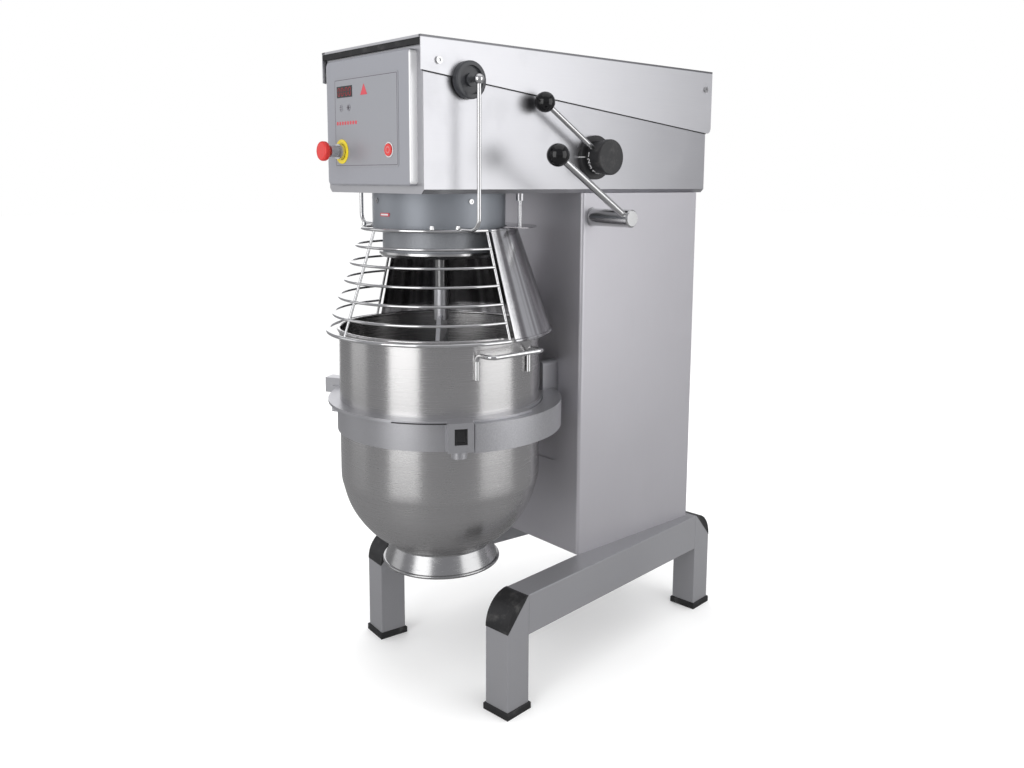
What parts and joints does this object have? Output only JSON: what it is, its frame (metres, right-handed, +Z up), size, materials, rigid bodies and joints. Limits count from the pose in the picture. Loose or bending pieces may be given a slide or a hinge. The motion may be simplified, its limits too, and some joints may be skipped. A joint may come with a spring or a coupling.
{
  "type": "commercial stand mixer",
  "caption": "Floor-standing planetary mixer: bowl on a lever-lifted fork, wire guard, flat beater, belt-driven head with a push-button panel, on a splayed box-section base.",
  "frame": {"origin": "bottom centre of the bounding box, on the floor", "axes": "+Z up, the control panel faces -Y, the levers are on the +X side"},
  "size_m": [0.5928, 1.0332, 1.44],
  "materials": {
    "grey_paint": "satin grey machine paint",
    "satin_steel": "fine satin stainless sheet",
    "panel_grey": "smooth grey paint",
    "membrane": "printed membrane film",
    "display_black": "smoked window",
    "key_grey": "membrane key",
    "signal_red": "moulded red",
    "bright_steel": "turned and polished",
    "polished_steel": "polished stainless wire and sheet",
    "bowl_steel": "fine horizontal brushing",
    "band_casting": "satin cast aluminium",
    "fork_casting": "speckled hammer finish",
    "neck_paint": "blue-grey enamel on casting",
    "drum_grey": "matt grey casting",
    "bronze": "sintered bush",
    "black_plastic": "glossy moulding",
    "boss_plastic": "dark grey moulding",
    "black_rubber": "moulded",
    "cap_plastic": "moulded black plug"
  },
  "bodies": {
    "frame": {"rails": "grey_paint", "legs": "grey_paint", "corner_caps": "cap_plastic", "feet": "black_rubber", "base_plate": "satin_steel", "column_shell": "grey_paint", "column_rear_cover": "grey_paint", "cable_gland": "black_plastic", "guide_rods": "bright_steel", "rod_clamps": "fork_casting", "lift_shaft_bearings": "fork_casting", "head_housing": "satin_steel", "head_cover": "satin_steel", "cover_seal": "black_rubber", "control_pan": "panel_grey", "membrane_panel": "membrane", "display_window": "display_black", "estop_collar": "bright_steel", "guard_pivot_bosses": "boss_plastic", "rear_shield": "polished_steel", "neck_casting": "neck_paint", "ring_gear": "bright_steel", "main_bearings": "bright_steel", "motor": "drum_grey", "motor_bracket": "satin_steel", "drive_belt": "black_rubber", "speed_dial": "black_plastic", "frame_bolts": "bright_steel", "cover_screws": "bright_steel"},
    "guard": {"guard_arms": "polished_steel", "wire_guard": "polished_steel"},
    "carriage": {"carriage": "fork_casting", "carriage_bushes": "bronze", "bowl_fork": "fork_casting", "slot_shutter": "grey_paint", "lift_rack": "bright_steel", "bowl": "bowl_steel", "bowl_foot_ring": "polished_steel", "bowl_band": "band_casting", "bowl_handles": "polished_steel"},
    "lift_lever": {"lift_shaft": "bright_steel", "lift_sector": "bright_steel", "lift_lever_rod": "bright_steel", "lift_lever_ball": "black_plastic"},
    "speed_lever": {"speed_knob": "black_plastic", "speed_lever_rod": "bright_steel", "speed_lever_ball": "black_plastic"},
    "planet_carrier": {"main_shaft": "bright_steel", "drive_pulley": "drum_grey", "planet_head": "drum_grey", "planet_rim": "bright_steel", "planet_bearings": "bright_steel"},
    "planet_tool": {"planet_shaft": "bright_steel", "flat_beater": "band_casting"},
    "motor_rotor": {"motor_shaft": "bright_steel", "motor_pulley": "drum_grey"},
    "estop_button": {"estop_button": "signal_red"},
    "start_button": {"start_button": "signal_red"},
    "key_light": {"key_light": "key_grey"},
    "key_timer": {"key_timer": "key_grey"}
  },
  "joints": [
    {"name": "guard_swing", "type": "hinge", "parent": "frame", "child": "guard", "pos_m": [-0.01759, -0.32462, 1.361], "axis": [1, 0, 0], "range_deg": [-90, 0]},
    {"name": "bowl_lift", "type": "slide", "parent": "frame", "child": "carriage", "axis": [0, 0, 1], "range_m": [-0.14, 0]},
    {"name": "lift_lever_turn", "type": "hinge", "parent": "frame", "child": "lift_lever", "pos_m": [-0.01759, 0.04538, 1.079], "axis": [1, 0, 0], "range_deg": [-100.5, 0.1]},
    {"name": "speed_lever_turn", "type": "hinge", "parent": "frame", "child": "speed_lever", "pos_m": [-0.01759, 0.04738, 1.215], "axis": [1, 0, 0], "range_deg": [-40, 20]},
    {"name": "planet_carrier_spin", "type": "hinge", "parent": "frame", "child": "planet_carrier", "pos_m": [-0.01759, -0.25962, 1.006], "axis": [0, 0, 1], "continuous": true},
    {"name": "planet_tool_spin", "type": "hinge", "parent": "planet_carrier", "child": "planet_tool", "pos_m": [0.03878, -0.29765, 1.006], "axis": [0, 0, 1], "continuous": true},
    {"name": "motor_spin", "type": "hinge", "parent": "frame", "child": "motor_rotor", "pos_m": [-0.01759, 0.24038, 1.245], "axis": [0, 0, 1], "continuous": true},
    {"name": "estop_press", "type": "slide", "parent": "frame", "child": "estop_button", "axis": [0, 1, 0], "range_m": [0, 0.005], "stiffness_N_per_m": 600},
    {"name": "start_press", "type": "slide", "parent": "frame", "child": "start_button", "axis": [0, 1, 0], "range_m": [0, 0.002], "stiffness_N_per_m": 500},
    {"name": "light_press", "type": "slide", "parent": "frame", "child": "key_light", "axis": [0, 1, 0], "range_m": [0, 0.0006], "stiffness_N_per_m": 500},
    {"name": "timer_press", "type": "slide", "parent": "frame", "child": "key_timer", "axis": [0, 1, 0], "range_m": [0, 0.0006], "stiffness_N_per_m": 500}
  ],
  "couplings": [
    {"joint": "lift_lever_turn", "follows": "bowl_lift", "rad_per_m": 12.5},
    {"joint": "planet_tool_spin", "follows": "planet_carrier_spin", "ratio": -2.7},
    {"joint": "motor_spin", "follows": "planet_carrier_spin", "ratio": 2.8889}
  ]
}
